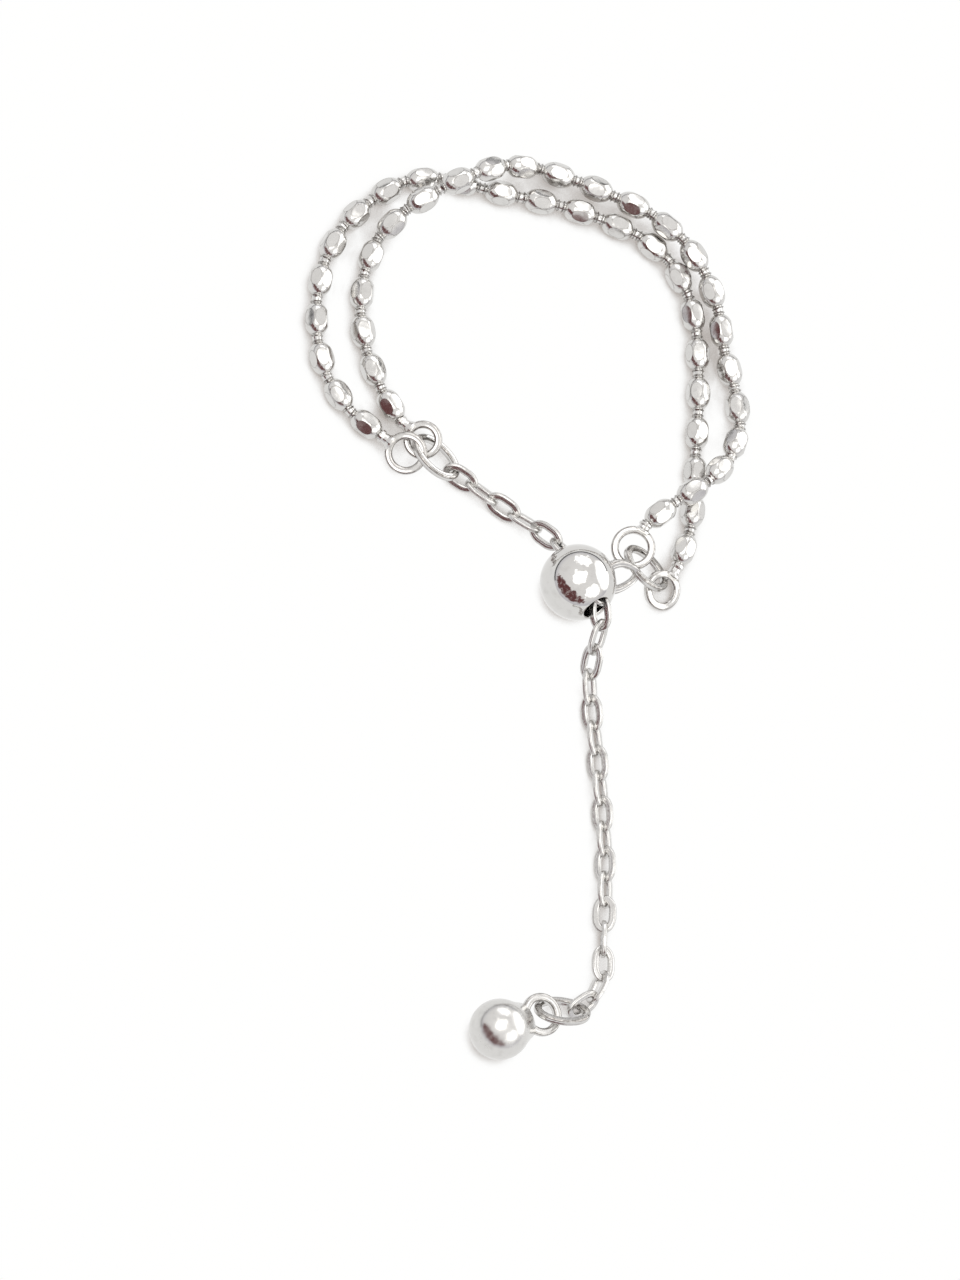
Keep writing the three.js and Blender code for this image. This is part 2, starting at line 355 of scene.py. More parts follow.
def turned(profile, sides):
    """A closed round shape along X through (place, radius) rings, drawn from a ball's own rings."""
    deselect_all()
    rings = len(profile) - 1
    bpy.ops.mesh.primitive_uv_sphere_add(segments=sides, ring_count=rings, radius=START_RADIUS)
    shape = bpy.context.object
    for vertex in shape.data.vertices:
        x, y, z = vertex.co
        ring = round(math.acos(max(-1.0, min(1.0, z))) / math.pi * rings)
        place, radius = profile[ring]
        turn = math.atan2(y, x)
        vertex.co = (place, radius * math.cos(turn), radius * math.sin(turn))
    bpy.ops.object.mode_set(mode="EDIT")
    bpy.ops.mesh.select_all(action="SELECT")
    bpy.ops.mesh.normals_make_consistent(inside=False)
    bpy.ops.object.mode_set(mode="OBJECT")
    return shape


def grooved(away_from_groove):
    """The share of a wire's half size that is left at a distance, 0 to 1, from a groove's middle."""
    return 1 - GROOVE_DEPTH * math.exp(-((away_from_groove / GROOVE_SPREAD) ** 2))


def new_torus(steps, sides):
    """A torus about Z, with steps round the ring and sides round its section."""
    deselect_all()
    bpy.ops.mesh.primitive_torus_add(
        major_segments=steps, minor_segments=sides, major_radius=START_RADIUS, minor_radius=START_WIRE
    )
    return bpy.context.object


def torus_points(shape):
    """Each point of a new torus, its turn round the ring and its turn round the ring's section."""
    for vertex in shape.data.vertices:
        x, y, z = vertex.co
        yield vertex, math.atan2(y, x), math.atan2(z, math.hypot(x, y) - START_RADIUS)


def ring_turned(section, sides):
    """A closed ring about X whose section is a closed loop of (place, radius) points, drawn from a
    torus's own sections."""
    shape = new_torus(sides, len(section))
    for vertex, turn, section_turn in torus_points(shape):
        point = round(section_turn / math.tau * len(section))
        place, radius = section[point % len(section)]
        vertex.co = (place, radius * math.cos(turn), radius * math.sin(turn))
    return shape


def wire_oval(half_length, half_width, across, thick, squareness, straight=0.0, steps=LOOP_STEPS):
    """A closed oval of drawn wire, long along X. Its section is across by thick, half sizes, squarer as
    its squareness grows, with a groove along each of its four sides. A straight length parts the
    oval's two round ends, and "rim" marks the four corners of the section, where the finish paints dark
    lines that stand for dark reflections."""
    shape = new_torus(steps, WIRE_SIDES)
    power = 1 - squareness
    painted_dark_lines = []
    for vertex, turn, section in torus_points(shape):
        painted_dark_lines.append(math.exp(-(((abs(math.sin(2 * section)) - 1) / RIM_SPREAD) ** 2)))
        flatwise = math.cos(section)
        upright = math.sin(section)
        out = across * grooved(upright) * math.copysign(abs(flatwise) ** power, flatwise)
        up = thick * grooved(flatwise) * math.copysign(abs(upright) ** power, upright)
        outward = Vector((half_width * math.cos(turn), half_length * math.sin(turn), 0)).normalized()
        centre = Vector((half_length * math.cos(turn), half_width * math.sin(turn), 0))
        if abs(math.cos(turn)) > OVAL_MIDDLE:
            centre.x += math.copysign(straight, math.cos(turn))
        vertex.co = centre + outward * out + Vector((0, 0, up))
    marked(shape.data, "rim", painted_dark_lines)
    return shape


def cut_flat(shape, normal, distance):
    """Cuts away what lies further than a distance along a normal, and closes the cut with a flat."""
    select_only(shape)
    bpy.ops.object.mode_set(mode="EDIT")
    bpy.ops.mesh.select_all(action="SELECT")
    bpy.ops.mesh.bisect(
        plane_co=normal * distance, plane_no=normal, use_fill=True, clear_outer=True, threshold=1e-5
    )
    bpy.ops.object.mode_set(mode="OBJECT")


def copied(shape, matrix):
    """A copy of a shape with a mesh of its own, moved by a matrix that is baked into the mesh."""
    twin = shape.copy()
    twin.data = shape.data.copy()
    twin.data.transform(matrix)
    bpy.context.collection.objects.link(twin)
    return twin


def joined(shapes):
    """One piece made from all the shapes."""
    deselect_all()
    for shape in shapes:
        shape.select_set(True)
    bpy.context.view_layer.objects.active = shapes[0]
    bpy.ops.object.join()
    return bpy.context.object


def finished(piece, name, material, node, smooth_angle):
    """Names and shades a piece, brings it from millimetres to its place in metres, and hands it to the
    frame in place of its solid."""
    select_only(piece)
    piece.name = name
    piece.data.name = name
    piece.data.transform(Matrix.Translation(TO_FRAME))
    bpy.ops.transform.resize(value=(MILLIMETRE,) * 3, center_override=(0, 0, 0))
    bpy.ops.object.transform_apply(location=True, rotation=True, scale=True)
    bpy.ops.object.shade_smooth_by_angle(angle=math.radians(smooth_angle), keep_sharp_edges=False)
    piece.data.materials.clear()
    piece.data.materials.append(material)
    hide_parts(node)
    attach(piece, BODY)


# ---------------------------------------------------------------------------------------------
# Finishes
# ---------------------------------------------------------------------------------------------


def new_material(name):
    material = bpy.data.materials.new(name)
    material.use_nodes = True
    material.node_tree.nodes.clear()
    return material


def ranged(tree, value, low, high, from_low, from_high, smooth=False):
    """A value between a low and a high one, as the given one goes from its own low to its own high."""
    spread = tree.nodes.new("ShaderNodeMapRange")
    if smooth:
        spread.interpolation_type = "SMOOTHSTEP"
    spread.inputs["From Min"].default_value = from_low
    spread.inputs["From Max"].default_value = from_high
    spread.inputs["To Min"].default_value = low
    spread.inputs["To Max"].default_value = high
    tree.links.new(value, spread.inputs["Value"])
    return spread.outputs["Result"]


def mixed(tree, share, first, second):
    """A colour that goes from the first to the second as the share goes from 0 to 1."""
    mix = tree.nodes.new("ShaderNodeMix")
    mix.data_type = "RGBA"
    mix.inputs["A"].default_value = (*first, 1)
    mix.inputs["B"].default_value = (*second, 1)
    tree.links.new(share, mix.inputs["Factor"])
    return mix.outputs["Result"]


def multiplied_and_added(tree, value, factor, more, clamp=False):
    """Value times factor plus more. The factor is a plain number or another node's output."""
    maths = tree.nodes.new("ShaderNodeMath")
    maths.operation = "MULTIPLY_ADD"
    maths.use_clamp = clamp
    tree.links.new(value, maths.inputs[0])
    if isinstance(factor, float):
        maths.inputs[1].default_value = factor
    else:
        tree.links.new(factor, maths.inputs[1])
    tree.links.new(more, maths.inputs[2])
    return maths.outputs["Value"]


# How each finish is polished: the ripples' size and height in millimetres, roughness, and how strong
# the dark lines painted along its rims are, which stand for dark reflections
POLISH = {
    "cut_bead_silver": (0.5, 0.015, 0.09, 0.75),
    "link_silver": (0.3, 0.012, 0.12, 0.3),
    "jump_ring_silver": (0.4, 0.014, 0.07, 1.0),
    "ball_silver": (1.1, 0.008, 0.03, 0.7),
    "end_ball_silver": (0.9, 0.010, 0.13, 0.7),
}
# The middle part of a noise, which most of its values lie in
NOISE_RANGE = (0.3, 0.7)
# Fine polishing lines: spacing in millimetres, how often they repeat along each axis compared with
# that, strength, and height in millimetres
LINE_SPACING = 0.02
LINE_STRETCH = (0.12, 1.0, 0.5)
LINE_STRENGTH = 0.35
LINE_HEIGHT = 0.0006
# Duller patches: their size in millimetres, and the most that they raise the roughness by
DULL_SIZE = 0.5
DULL_MOST = 2.2
# Faint stains: their size in millimetres, how strong they get, and the part of the noise they show in
STAIN_SIZE = 0.35
STAIN_MOST = 0.12
STAIN_RANGE = (0.5, 0.75)
# The size in millimetres of the patches in which the painted marks lie more or less strongly, and
# the strength of the shade painted into a crevice and inside a bore, least and most. Along a rim,
# where dark lines that stand for dark reflections are painted, the least is a third of the most.
PAINTED_MARK_PATCH_SIZE = 0.15
PAINTED_SHADE_IN_CREVICE = (0.1, 0.6)
PAINTED_SHADE_IN_BORE = (0.1, 0.4)


def silver_finish(name):
    """Polished silver. Ripples wander over it, and fine polishing lines run in patches. Faint random
    stains lie on it. Warm shade is painted into crevices and inside a bore, and dark lines that stand
    for dark reflections are painted along rims."""
    ripple_size, ripple_height, roughness, rim = POLISH[name]
    settings = bpy.context.scene.ring_finish
    material = new_material(name)
    tree = material.node_tree
    nodes = tree.nodes
    links = tree.links
    shader = nodes.new("ShaderNodeBsdfPrincipled")
    shader.inputs["Metallic"].default_value = 1.0
    output = nodes.new("ShaderNodeOutputMaterial")
    links.new(shader.outputs["BSDF"], output.inputs["Surface"])
    place = nodes.new("ShaderNodeTexCoord").outputs["Object"]

    def noise(size, detail, stretch=(1.0, 1.0, 1.0)):
        mapping = nodes.new("ShaderNodeMapping")
        mapping.inputs["Scale"].default_value = [s / (size * MILLIMETRE) for s in stretch]
        links.new(place, mapping.inputs["Vector"])
        texture = nodes.new("ShaderNodeTexNoise")
        texture.inputs["Scale"].default_value = 1.0
        texture.inputs["Detail"].default_value = detail
        links.new(mapping.outputs["Vector"], texture.inputs["Vector"])
        return texture.outputs["Fac"]

    def bump(height, strength, depth, below=None):
        node = nodes.new("ShaderNodeBump")
        node.inputs["Strength"].default_value = strength
        node.inputs["Distance"].default_value = depth * MILLIMETRE
        links.new(height, node.inputs["Height"])
        if below:
            links.new(below, node.inputs["Normal"])
        return node.outputs["Normal"]

    ripples = bump(noise(ripple_size, detail=1.0), 1.0, ripple_height)
    spacing = noise(LINE_SPACING, detail=2.0, stretch=LINE_STRETCH)
    lines = bump(spacing, LINE_STRENGTH, LINE_HEIGHT, below=ripples)
    links.new(lines, shader.inputs["Normal"])
    dull_patches = noise(DULL_SIZE, detail=3.0)
    dullness = ranged(tree, dull_patches, roughness, roughness * DULL_MOST, *NOISE_RANGE)
    links.new(dullness, shader.inputs["Roughness"])

    stains_and_painted_shade = ranged(tree, noise(STAIN_SIZE, detail=4.0), 0.0, STAIN_MOST, *STAIN_RANGE)
    # Painted shade in crevices and inside a bore, and painted dark lines along rims that stand for dark
    # reflections, over the stains
    marks = {"crevice": PAINTED_SHADE_IN_CREVICE, "rim": (rim / 3, rim), "inside": PAINTED_SHADE_IN_BORE}
    for attribute, (least, most) in marks.items():
        mark = nodes.new("ShaderNodeAttribute")
        mark.attribute_name = attribute
        strength = ranged(tree, noise(PAINTED_MARK_PATCH_SIZE, detail=3.0), least, most, *NOISE_RANGE)
        stains_and_painted_shade = multiplied_and_added(tree, mark.outputs["Fac"], strength, stains_and_painted_shade, clamp=True)
    colour = mixed(tree, stains_and_painted_shade, settings.silver, settings.stain_and_painted_shade)
    links.new(colour, shader.inputs["Base Color"])
    return material


def glow_finish(name, colour, radiance):
    """A plain glow of one colour."""
    material = new_material(name)
    nodes = material.node_tree.nodes
    glow = nodes.new("ShaderNodeEmission")
    glow.inputs["Color"].default_value = (*colour, 1)
    glow.inputs["Strength"].default_value = radiance
    output = nodes.new("ShaderNodeOutputMaterial")
    material.node_tree.links.new(glow.outputs["Emission"], output.inputs["Surface"])
    return material


def node_of(tree, kind):
    """The first node of a kind in a tree."""
    return next(node for node in tree.nodes if node.type == kind)


# ---------------------------------------------------------------------------------------------
# Beads
# ---------------------------------------------------------------------------------------------


# A bead's long flats, and the turn from one to the next
FLATS = 6
FLAT_STEP = math.tau / FLATS
# Rows of small flats towards each end: tilt to the axis in degrees, depth of cut, turn in steps
END_FLATS = ((36, 0.036, 0.0), (52, 0.026, 0.5))
# The border round each flat: width and depth in millimetres
BORDER_WIDTH = 0.035
BORDER_DEPTH = 0.003
# How far short of a bead's end its barrel stops, in millimetres
BARREL_SHORT = 0.08
# A collar's rings: place beyond the bead's end in millimetres, and share of the collar's radius
COLLAR = ((0.085, 0.0), (0.07, 0.82), (0.045, 0.97), (0.015, 1.0), (-0.02, 0.93), (-0.04, 0.78))
# Steps along a barrel, and sides of a bead, a neck and a stem
BARREL_STEPS = 22
BEAD_SIDES = 48
NECK_SIDES = 20
STEM_SIDES = 24
# Corners nearer than this are one, and a face this near a cut and this nearly level with it is its
# flat, in millimetres and as a cosine
MERGE_DISTANCE = 0.004
FLAT_DISTANCE = 0.002
FLAT_COSINE = 0.9999
# Shade painted at the necks: where it starts and how far it takes to grow, as shares of a bead's half
# length, and the radius that it is gone at and over how much it fades, in millimetres
CREVICE_START = 0.72
CREVICE_GROWTH = 0.2
CREVICE_RADIUS = 0.54
CREVICE_FADE = 0.3
# A neck is this much thicker at its ends, over this share of its length
NECK_FLARE = 1.1
NECK_FLARE_SHARE = 0.25
# Thickness of an end loop's wire, compared with its width
LOOP_FLATNESS = 0.86


def bead_reach(beads, roll):
    """How far a bead turned by a roll reaches below its axis: to a flat or to an edge."""
    off_flat = abs(roll - FLAT_STEP * round(roll / FLAT_STEP))
    return beads.radius * math.cos(off_flat - math.acos(beads.flat_depth))


def bead_profile(beads):
    """The turned bead's rings along its axis: a pole, a collar, the barrel, a collar and a pole."""
    half = beads.length / 2
    neck_share = 1 - (beads.neck_radius / beads.radius) ** 2
    barrel_end = half - BARREL_SHORT
    rings = [(-half - place, beads.collar_radius * size) for place, size in COLLAR]
    for i in range(BARREL_STEPS + 1):
        share = -math.cos(math.pi * i / BARREL_STEPS)
        radius = beads.radius * math.sqrt(1 - neck_share * abs(share) ** beads.fullness)
        rings.append((share * barrel_end, radius))
    rings += [(half + place, beads.collar_radius * size) for place, size in reversed(COLLAR)]
    return rings


def model_bead(beads):
    """One cut bead along X: a turned barrel with long flats, and rows of small ones at its ends."""
    profile = bead_profile(beads)
    shape = turned(profile, BEAD_SIDES)
    cuts = []
    for i in range(FLATS):
        turn = -math.pi / 2 + FLAT_STEP * i
        cuts.append((Vector((0, math.cos(turn), math.sin(turn))), beads.radius * beads.flat_depth))
    for tilt, depth, offset in END_FLATS:
        along = math.sin(math.radians(tilt))
        out = math.cos(math.radians(tilt))
        reach = max(place * along + radius * out for place, radius in profile)
        for i in range(FLATS):
            turn = -math.pi / 2 + FLAT_STEP * (i + offset)
            for end in (1, -1):
                normal = Vector((end * along, out * math.cos(turn), out * math.sin(turn)))
                cuts.append((normal, reach - depth))
    for normal, distance in cuts:
        cut_flat(shape, normal, distance)
    crown_flats(shape, cuts)
    return shape


def crown_flats(shape, cuts):
    """Gives each flat a narrow sloping border, and marks where the finish paints: "rim" along the flats'
    borders, for dark lines that stand for dark reflections, and "crevice" at the necks, for painted
    shade."""
    bpy.ops.object.mode_set(mode="EDIT")
    bpy.ops.mesh.select_all(action="SELECT")
    bpy.ops.mesh.remove_doubles(threshold=MERGE_DISTANCE)
    bpy.ops.mesh.select_all(action="DESELECT")
    bpy.ops.object.mode_set(mode="OBJECT")
    mesh = shape.data
    for face in mesh.polygons:
        face.select = any(
            face.normal.dot(normal) > FLAT_COSINE
            and abs(face.center.dot(normal) - distance) < FLAT_DISTANCE
            for normal, distance in cuts
        )
    borders = {index for face in mesh.polygons if face.select for index in face.vertices}
    bpy.ops.object.mode_set(mode="EDIT")
    bpy.ops.mesh.select_mode(type="FACE")
    bpy.ops.mesh.inset(thickness=BORDER_WIDTH, depth=BORDER_DEPTH, use_individual=True)
    bpy.ops.object.mode_set(mode="OBJECT")
    reach = max(vertex.co.x for vertex in mesh.vertices)
    painted_dark_lines = []
    crevices = []
    for vertex in mesh.vertices:
        painted_dark_lines.append(1.0 if vertex.index in borders else 0.0)
        near_neck = (abs(vertex.co.x) / reach - CREVICE_START) / CREVICE_GROWTH
        near_axis = (CREVICE_RADIUS - math.hypot(vertex.co.y, vertex.co.z)) / CREVICE_FADE
        crevices.append(clamped(near_neck) * clamped(near_axis))
    marked(mesh, "rim", painted_dark_lines)
    marked(mesh, "crevice", crevices)


def neck(start, finish, radius):
    """A short round bar between two points, a little waisted."""
    span = (finish - start).length
    flare = span * NECK_FLARE_SHARE
    profile = [(0, 0), (0, radius * NECK_FLARE), (flare, radius)]
    profile += [(span - flare, radius), (span, radius * NECK_FLARE), (span, 0)]
    shape = turned(profile, NECK_SIDES)
    shape.data.transform(placed(facing_along(finish - start, 0), start))
    return shape


def stem(bead_end, loop_root, beads, wire):
    """The solder between a strand's last bead and its end loop, flared where it meets the wire."""
    span = (loop_root - bead_end).length
    # Rings along it: share of its length, and radius
    rings = (
        (0.0, 0.0),
        (0.0, beads.neck_radius * 1.35),
        (0.2, beads.neck_radius * 1.4),
        (0.35, beads.neck_radius * 1.1),
        (0.6, beads.neck_radius * 1.25),
        (0.85, wire.radius * 2.0),
        (1.0, wire.radius * 2.1),
        (1.06, wire.radius * 0.9),
        (1.06, 0.0),
    )
    shape = turned([(place * span, radius) for place, radius in rings], STEM_SIDES)
    shape.data.transform(placed(facing_along(loop_root - bead_end, 0), bead_end))
    return shape


def end_loop(middle, turn, radius, wire):
    """A round loop of wire, and the place on it that its strand is soldered to."""
    shape = wire_oval(radius, radius, wire.radius, wire.radius * LOOP_FLATNESS, wire.squareness)
    shape.data.transform(placed(facing(*turn), middle))
    return shape, middle + facing(*turn) @ Vector((-radius, 0, 0))


class CHAINRING_OT_bead_strands(bpy.types.Operator):
    """Model both strands of cut beads with their collars, necks and soldered end loops"""

    bl_idname = "chainring.bead_strands"
    bl_label = "Bead Strands"

    def execute(self, context):
        beads = context.scene.ring_beads
        wire = context.scene.ring_wires
        silver = silver_finish("cut_bead_silver")
        pattern = model_bead(beads)
        for strand in STRANDS:
            self.model_strand(strand, pattern, beads, wire, silver)
        bpy.data.objects.remove(pattern)
        return {"FINISHED"}

    def model_strand(self, strand, pattern, beads, wire, silver):
        """A strand's beads, the necks between them and its soldered end loops, as one piece."""
        stations = even_stations([Vector(point) for point in strand["route"]], beads.count)
        half = Vector((beads.length / 2, 0, 0))
        shapes = []
        ends = []
        for i in range(beads.count):
            roll = (i + 1) * beads.twist
            axis = stations[i + 1] - stations[i]
            middle = (stations[i] + stations[i + 1]) / 2
            middle.z += bead_reach(beads, math.radians(roll))
            rotation = facing_along(axis, roll)
            shapes.append(copied(pattern, placed(rotation, middle)))
            ends.append((middle - rotation @ half, middle + rotation @ half))
        for (_, before), (after, _) in zip(ends, ends[1:]):
            shapes.append(neck(before, after, beads.neck_radius))
        for key, bead_end in (("start_loop", ends[0][0]), ("end_loop", ends[-1][1])):
            loop, root = end_loop(*strand[key], wire)
            shapes.append(loop)
            shapes.append(stem(bead_end, root, beads, wire))
        piece = joined(shapes)
        finished(piece, strand["name"], silver, strand["node"], smooth_angle=14)


# ---------------------------------------------------------------------------------------------
# Cable chain and jump rings
# ---------------------------------------------------------------------------------------------


# How much wider a link's wire is than it is thick, all of it on the inside, in millimetres
LINK_INSIDE = 0.11
# How much of a link's straight sides is rounded into its ends
LINK_OVALNESS = 0.6
# Thickness of a link's wire, compared with its own size before it is widened
LINK_FLATNESS = 0.92
# Half sizes of a jump ring to the middle of its wire, and its wire's thickness compared with its width
JUMP_RING_HALF_LENGTH = 1.32
JUMP_RING_HALF_WIDTH = 0.92
RING_FLATNESS = 0.9


class CHAINRING_OT_cable_chain(bpy.types.Operator):
    """Model the cable chain's links, closed ovals of drawn wire"""

    bl_idname = "chainring.cable_chain"
    bl_label = "Cable Chain"

    def execute(self, context):
        wire = context.scene.ring_wires
        silver = silver_finish("link_silver")
        for node in sorted(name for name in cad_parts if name.startswith("chain_link_")):
            pose, half_length = wire_pose(node)
            width = wire.link_half_width - LINK_INSIDE / 2
            straight = half_length - wire.link_radius - wire.link_half_width
            link = wire_oval(
                width + straight * LINK_OVALNESS,
                width,
                wire.link_radius + LINK_INSIDE / 2,
                wire.link_radius * LINK_FLATNESS,
                wire.link_squareness,
                straight * (1 - LINK_OVALNESS),
                LINK_STEPS,
            )
            link.data.transform(pose)
            name = node.replace("chain_link", "cable_link")
            finished(link, name, silver, node, smooth_angle=40)
        return {"FINISHED"}


class CHAINRING_OT_jump_rings(bpy.types.Operator):
    """Model the three oval jump rings"""

    bl_idname = "chainring.jump_rings"
    bl_label = "Jump Rings"

    def execute(self, context):
        wire = context.scene.ring_wires
        silver = silver_finish("jump_ring_silver")
        for node in ("jump_ring_left", "jump_ring_right", "jump_ring_end"):
            pose, _ = wire_pose(node)
            ring = wire_oval(
                JUMP_RING_HALF_LENGTH,
                JUMP_RING_HALF_WIDTH,
                wire.radius,
                wire.radius * RING_FLATNESS,
                wire.squareness,
            )
            ring.data.transform(pose)
            finished(ring, "silver_" + node, silver, node, smooth_angle=40)
        return {"FINISHED"}


# ---------------------------------------------------------------------------------------------
# Balls
# ---------------------------------------------------------------------------------------------


# Steps round a bored ball's section: over one half of its outside, round a rim and along half its bore
OUTSIDE_STEPS = 40
RIM_STEPS = 10
BORE_STEPS = 8
# Steps along the end ball as far as its neck, and sides of each ball
ARC_STEPS = 44
SLIDING_BALL_SIDES = 128
END_BALL_SIDES = 96
# How much of the rim counts as inside the bore
INSIDE_RIM_SHARE = 0.15


def soldered_eye(eye, wire_radius, squareness, ball_middle):
    """An eye of drawn wire, sunk into its ball at one end and tapered towards the other."""
    thickness = wire_radius * RING_FLATNESS
    shape = wire_oval(eye["half_length"], eye["half_width"], wire_radius, thickness, squareness)
    for vertex in shape.data.vertices:
        vertex.co.y *= 1 - eye["taper"] * vertex.co.x / eye["half_length"]
    shape.data.transform(Matrix.Translation((eye["reach"], 0, 0)))
    shape.data.transform(placed(facing(*eye["turn"]), ball_middle))
    return shape


def bored_section(radius, bore_radius, rim):
    """A bored ball's section on one side of its bore, from its middle over its outside, round one
    mouth's rim, through the bore and back round the other."""
    rim_place = math.sqrt((radius - rim) ** 2 - (bore_radius + rim) ** 2)
    rim_turn = math.atan2(rim_place, bore_radius + rim)
    half = []
    for i in range(OUTSIDE_STEPS):
        turn = rim_turn * i / OUTSIDE_STEPS
        half.append((radius * math.sin(turn), radius * math.cos(turn)))
    for i in range(RIM_STEPS + 1):
        turn = rim_turn + (math.pi - rim_turn) * i / RIM_STEPS
        half.append((rim_place + rim * math.sin(turn), bore_radius + rim + rim * math.cos(turn)))
    for i in range(1, BORE_STEPS + 1):
        half.append((rim_place * (1 - i / BORE_STEPS), bore_radius))
    return half + [(-place, off_axis) for place, off_axis in reversed(half[1:-1])]


class CHAINRING_OT_sliding_ball(bpy.types.Operator):
    """Model the sliding ball with its bored and rounded mouths and its soldered eye"""

    bl_idname = "chainring.sliding_ball"
    bl_label = "Sliding Ball"

    def execute(self, context):
        balls = context.scene.ring_balls
        wire = context.scene.ring_wires
        section = bored_section(balls.radius, balls.bore_radius, balls.rim)
        ball = ring_turned(section, SLIDING_BALL_SIDES)
        # Marks the bore's wall, where the finish paints shade
        inside_radius = balls.bore_radius + balls.rim * INSIDE_RIM_SHARE
        insides = []
        for vertex in ball.data.vertices:
            off_axis = math.hypot(vertex.co.y, vertex.co.z)
            insides.append(1.0 if off_axis < inside_radius else 0.0)
        marked(ball.data, "inside", insides)
        ball.data.transform(placed(facing(*SLIDING_BALL_BORE), SLIDING_BALL))
        eye = soldered_eye(SLIDING_BALL_EYE, wire.radius, wire.squareness, SLIDING_BALL)
        name = "silver_sliding_ball"
        silver = silver_finish("ball_silver")
        finished(joined([ball, eye]), name, silver, "sliding_ball", smooth_angle=30)
        return {"FINISHED"}


# The end ball's neck beyond the ball: place from its middle, half width and half thickness, mm. It
# narrows and flattens into the near side of the eye.
END_NECK = (
    (0.8, 1.386, 1.386),
    (1.0, 1.26, 1.24),
    (1.2, 1.15, 1.06),
    (1.4, 1.06, 0.87),
    (1.6, 0.98, 0.68),
    (1.75, 0.91, 0.54),
    (1.88, 0.81, 0.41),
    (1.98, 0.66, 0.29),
    (2.05, 0.44, 0.18),
    (2.08, 0.22, 0.09),
    (2.09, 0.0, 0.0),
)


class CHAINRING_OT_end_ball(bpy.types.Operator):
    """Model the tail's end ball, drawn out into a neck that holds its eye"""

    bl_idname = "chainring.end_ball"
    bl_label = "End Ball"

    def execute(self, context):
        balls = context.scene.ring_balls
        wire = context.scene.ring_wires
        neck_places, neck_widths, neck_depths = zip(*END_NECK)
        arc_end = math.acos(neck_places[0] / balls.end_radius)
        profile = []
        for i in range(ARC_STEPS):
            turn = math.pi - (math.pi - arc_end) * i / ARC_STEPS
            profile.append((balls.end_radius * math.cos(turn), balls.end_radius * math.sin(turn)))
        profile += zip(neck_places, neck_widths)
        ball = turned(profile, END_BALL_SIDES)
        flatness = [depth / width if width else 0.0 for _, width, depth in END_NECK]
        for vertex in ball.data.vertices:
            vertex.co.z *= np.interp(vertex.co.x, neck_places, flatness)
        ball.data.transform(placed(facing(*END_BALL_EYE["turn"]), END_BALL))
        eye = soldered_eye(END_BALL_EYE, wire.eye_radius, wire.squareness, END_BALL)
        name = "silver_end_ball"
        silver = silver_finish("end_ball_silver")
        finished(joined([ball, eye]), name, silver, "end_ball", smooth_angle=30)
        return {"FINISHED"}


# ---------------------------------------------------------------------------------------------
# Stage
# ---------------------------------------------------------------------------------------------


def towards(azimuth, elevation):
    """The direction of an azimuth from +X and an elevation, both in degrees."""
    a = math.radians(azimuth)
    e = math.radians(elevation)
    return Vector((math.cos(a) * math.cos(e), math.sin(a) * math.cos(e), math.sin(e)))


# The boards that the silver mirrors: name, azimuth, elevation, half width and half height in degrees,
# how ragged its outline is, radiance, colour and the colour that it is mottled with
CARDS = (
    ("window_overhead", 182, 80, 25, 30, 1.5, 2.6, (1.0, 0.99, 0.97), (0.6, 0.6, 0.59)),
    ("window_right", -49, 38, 27, 20, 1.5, 2.2, (1.0, 1.0, 0.98), (0.6, 0.6, 0.6)),
    ("window_far", 84, 36, 24, 22, 1.5, 2.2, (1.0, 1.0, 1.0), (0.6, 0.6, 0.6)),
    ("window_side", 17, 20, 38, 30, 0.4, 2.2, (1.0, 1.0, 0.99), (0.8, 0.8, 0.8)),
    ("warm_dark_side", -134, 25, 60, 20, 1.2, 1.0, (0.15, 0.06, 0.06), (0.5, 0.42, 0.41)),
)
# How far the boards stand from the ring, in metres
CARD_DISTANCE = 0.45
# A board's mottling: how fine it is, and the part of the noise over which its second colour comes in
MOTTLE_SCALE = 2.4
MOTTLE_RANGE = (0.5, 0.68)
# How fine a board's ragged outline is, and where its glow starts and ends fading, of its half size
RAGGED_SCALE = 1.7
FADE_START = 0.66
FADE_END = 0.96


def soft_glow(name, colour, mottle, radiance, raggedness, aspect, seed):
    """A mottled glow that fades out towards a ragged oval outline, on a board from -1 to 1. The board
    is wider than it is high by its aspect, which the mottling allows for."""
    material = glow_finish(name, colour, radiance)
    tree = material.node_tree
    nodes = tree.nodes
    links = tree.links
    glow = node_of(tree, "EMISSION")
    place = nodes.new("ShaderNodeTexCoord").outputs["Object"]
    widened = nodes.new("ShaderNodeMapping")
    widened.inputs["Scale"].default_value = (aspect, 1.0, 1.0)
    links.new(place, widened.inputs["Vector"])

    def noise(scale, detail):
        texture = nodes.new("ShaderNodeTexNoise")
        texture.noise_dimensions = "4D"
        texture.inputs["W"].default_value = seed
        texture.inputs["Scale"].default_value = scale
        texture.inputs["Detail"].default_value = detail
        links.new(widened.outputs["Vector"], texture.inputs["Vector"])
        return texture.outputs["Fac"]

    mottled = ranged(tree, noise(MOTTLE_SCALE, detail=4.0), 0.0, 1.0, *MOTTLE_RANGE, smooth=True)
    links.new(mixed(tree, mottled, colour, mottle), glow.inputs["Color"])
    length = nodes.new("ShaderNodeVectorMath")
    length.operation = "LENGTH"
    links.new(place, length.inputs[0])
    wander = noise(RAGGED_SCALE, detail=2.0)
    ragged = multiplied_and_added(tree, wander, raggedness, length.outputs["Value"])
    edge = raggedness / 2
    faded = ranged(tree, ragged, 1.0, 0.0, FADE_START + edge, FADE_END + edge, smooth=True)
    clear = nodes.new("ShaderNodeBsdfTransparent")
    mix = nodes.new("ShaderNodeMixShader")
    links.new(faded, mix.inputs[0])
    links.new(clear.outputs["BSDF"], mix.inputs[1])
    links.new(glow.outputs["Emission"], mix.inputs[2])
    links.new(mix.outputs["Shader"], node_of(tree, "OUTPUT_MATERIAL").inputs["Surface"])
    return material


